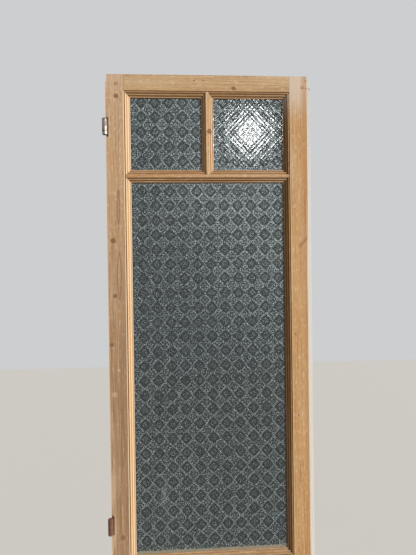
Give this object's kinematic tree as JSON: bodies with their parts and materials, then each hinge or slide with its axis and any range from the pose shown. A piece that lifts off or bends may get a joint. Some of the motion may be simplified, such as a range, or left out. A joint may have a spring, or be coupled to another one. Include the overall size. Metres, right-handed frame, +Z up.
{
  "type": "glazed panel door",
  "caption": "Narrow stripped pine door leaf with small figured-glass panes over a tall one, a raised lower panel, stuck mouldings and lift-off hinges.",
  "frame": {"origin": "on the hinge axis, at the underside of the lowest hinge barrel, which sits on the frame's half of that hinge", "axes": "+Z up along the hinge axis, +X across the leaf from the hinge stile to the meeting stile, +Y from the moulded front to the back"},
  "size_m": [0.5245, 0.047, 2.25],
  "materials": {
    "frame_pine": "stripped, dry",
    "panel_pine": "stripped, dry",
    "bead_pine": "stripped, dry",
    "peg_wood": "end grain",
    "figured_glass": "pressed pattern",
    "hinge_steel": "rusty, worn bright"
  },
  "bodies": {
    "root": {"bottom_rail": "frame_pine", "cross_bar": "frame_pine", "glass_main": "figured_glass", "glass_top_left": "figured_glass", "glass_top_right": "figured_glass", "glazing_bead_main_bottom": "bead_pine", "glazing_bead_main_left": "bead_pine", "glazing_bead_main_right": "bead_pine", "glazing_bead_main_top": "bead_pine", "glazing_bead_top_left_bottom": "bead_pine", "glazing_bead_top_left_left": "bead_pine", "glazing_bead_top_left_right": "bead_pine", "glazing_bead_top_left_top": "bead_pine", "glazing_bead_top_right_bottom": "bead_pine", "glazing_bead_top_right_left": "bead_pine", "glazing_bead_top_right_right": "bead_pine", "glazing_bead_top_right_top": "bead_pine", "hinge_bottom": "hinge_steel", "hinge_middle": "hinge_steel", "hinge_top": "hinge_steel", "left_stile": "frame_pine", "lock_rail": "frame_pine", "lower_panel": "panel_pine", "peg_bottom_rail_left_lower": "peg_wood", "peg_bottom_rail_left_upper": "peg_wood", "peg_bottom_rail_right_lower": "peg_wood", "peg_bottom_rail_right_upper": "peg_wood", "peg_lock_rail_left_lower": "peg_wood", "peg_lock_rail_left_upper": "peg_wood", "peg_lock_rail_right_lower": "peg_wood", "peg_lock_rail_right_upper": "peg_wood", "peg_top_rail_left": "peg_wood", "peg_top_rail_right": "peg_wood", "right_stile": "frame_pine", "top_rail": "frame_pine", "upright_bar": "frame_pine"}
  },
  "joints": []
}
